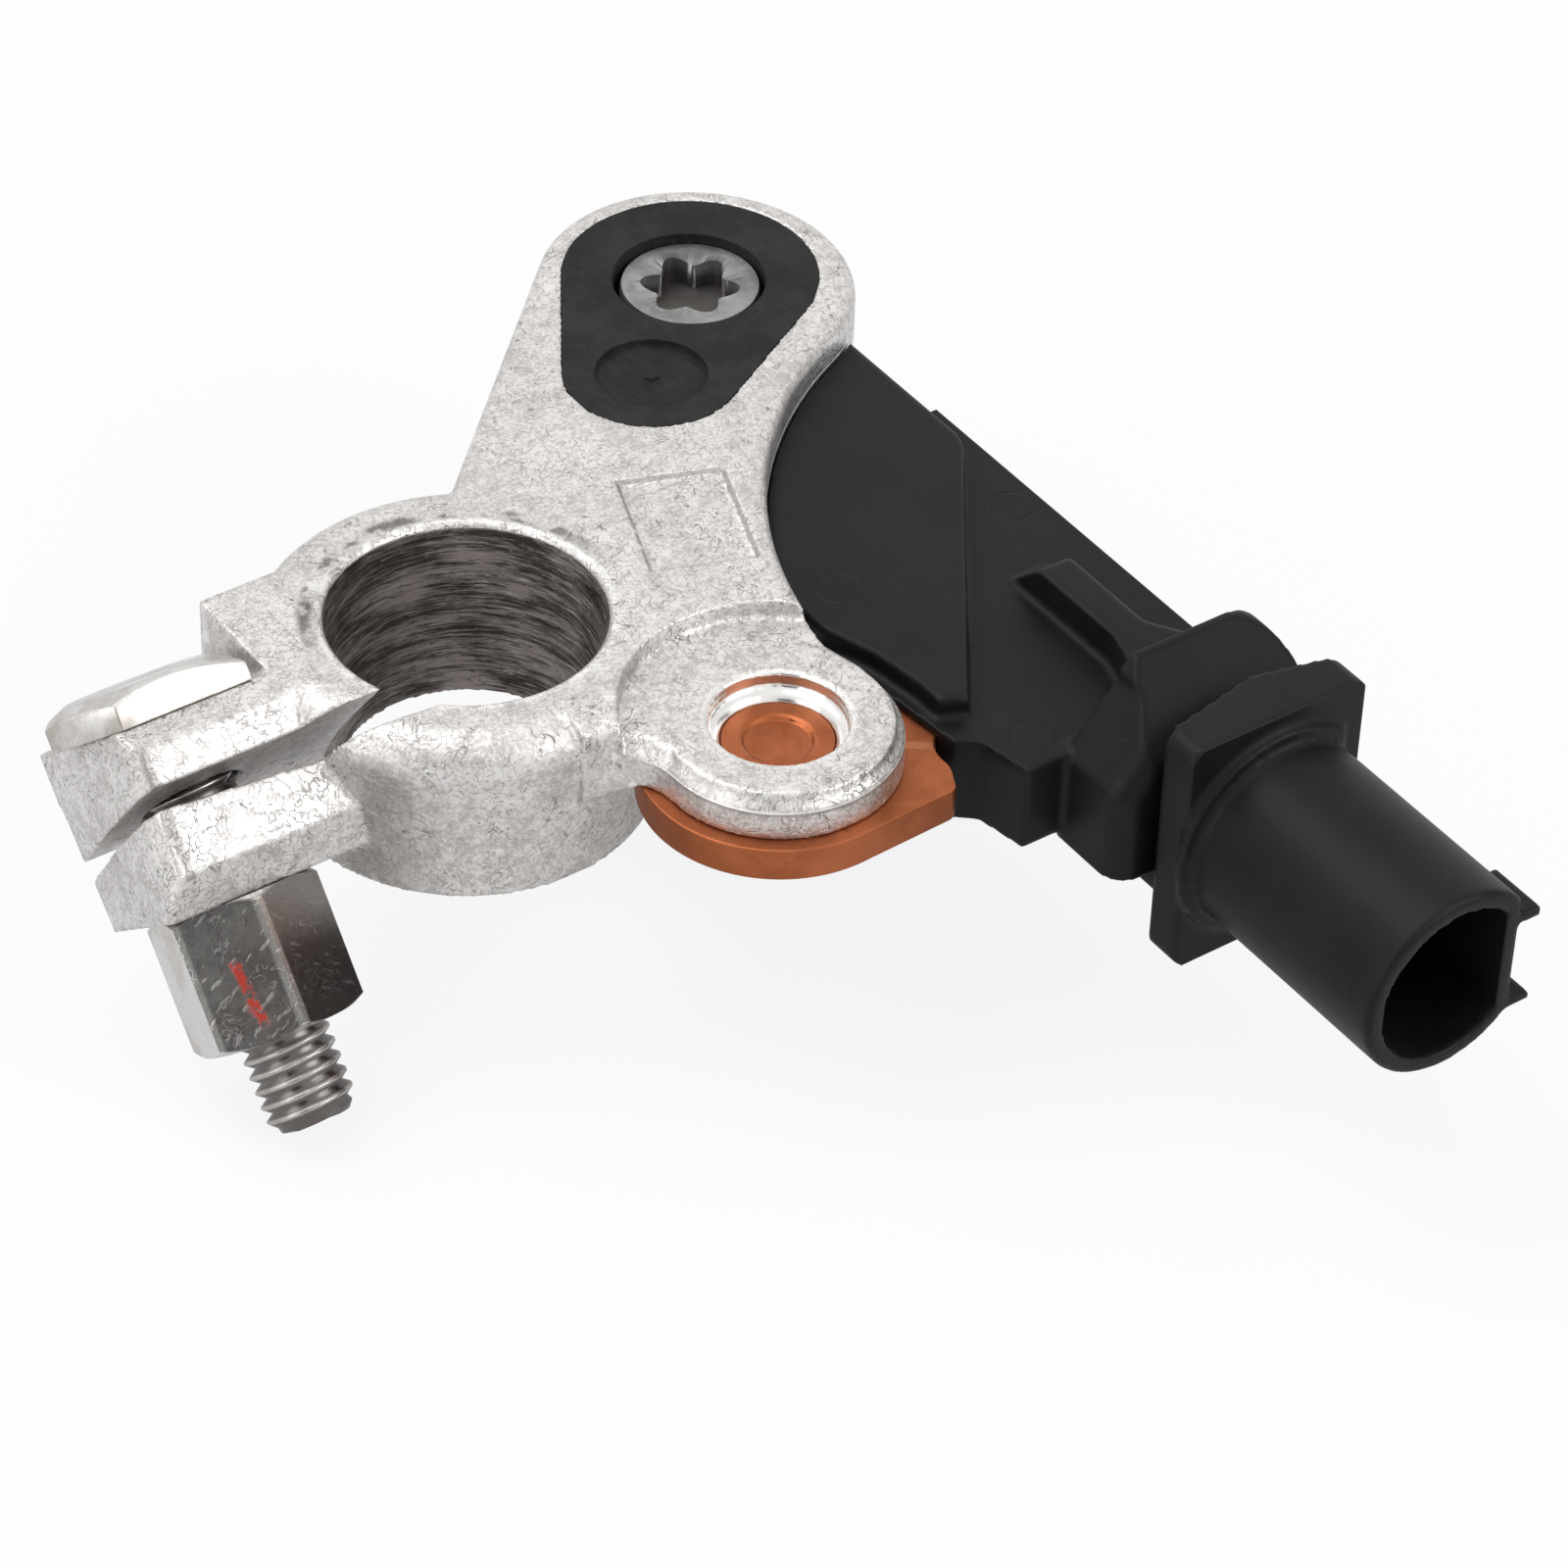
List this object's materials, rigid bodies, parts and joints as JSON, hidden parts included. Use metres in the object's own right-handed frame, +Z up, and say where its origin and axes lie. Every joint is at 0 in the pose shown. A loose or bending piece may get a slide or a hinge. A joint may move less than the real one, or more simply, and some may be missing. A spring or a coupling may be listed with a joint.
{
  "type": "battery current sensor",
  "caption": "Battery post clamp with a built-in shunt, a moulded sensor housing and a round socket for the wiring plug.",
  "frame": {"origin": "on the post bore's axis, in the casting's top plane", "axes": "+Z up along the bore towards the visible side, +X from the clamp ears through the bore, -Y towards the socket's mouth"},
  "size_m": [0.07, 0.0883, 0.0273],
  "materials": {
    "tinned_casting": "satin, as cast and tinned",
    "zinc_steel": "bright, scratched",
    "black_insert": "matte",
    "stud_steel": "dull grey",
    "copper": "satin copper",
    "resistor_alloy": "dull",
    "black_housing": "matte moulded",
    "tinned_contact": "bright tin",
    "board_laminate": "satin",
    "chip_resin": "matte",
    "capacitor_ceramic": "satin"
  },
  "bodies": {
    "sensor": {"terminal_casting": "tinned_casting", "insulator_insert": "black_insert", "ground_stud": "stud_steel", "eye_rivet": "copper", "shunt_battery_plate": "copper", "shunt_resistor": "resistor_alloy", "shunt_ground_plate": "copper", "sensor_housing": "black_housing", "contact_pin_power": "tinned_contact", "contact_pin_data": "tinned_contact", "pin_carrier": "black_housing", "housing_cover": "black_housing", "circuit_board": "board_laminate", "sense_tap_battery": "tinned_contact", "sense_tap_ground": "tinned_contact", "measuring_chip": "chip_resin", "bus_chip": "chip_resin", "temperature_chip": "chip_resin", "capacitors": "capacitor_ceramic", "chip_resistors": "chip_resin"},
    "bolt": {"clamp_bolt": "zinc_steel"},
    "nut": {"clamp_nut": "zinc_steel"}
  },
  "joints": [
    {"name": "nut_spin", "type": "hinge", "parent": "sensor", "child": "nut", "pos_m": [-0.0193, -0.0026, -0.01244], "axis": [0, -0.6428, -0.766], "range_deg": [0, 2520]},
    {"name": "bolt_feed", "type": "slide", "parent": "sensor", "child": "bolt", "axis": [0, 0.6428, 0.766], "range_m": [0, 0.007]}
  ],
  "couplings": [
    {"joint": "nut_spin", "follows": "bolt_feed", "rad_per_m": 6283.2}
  ]
}
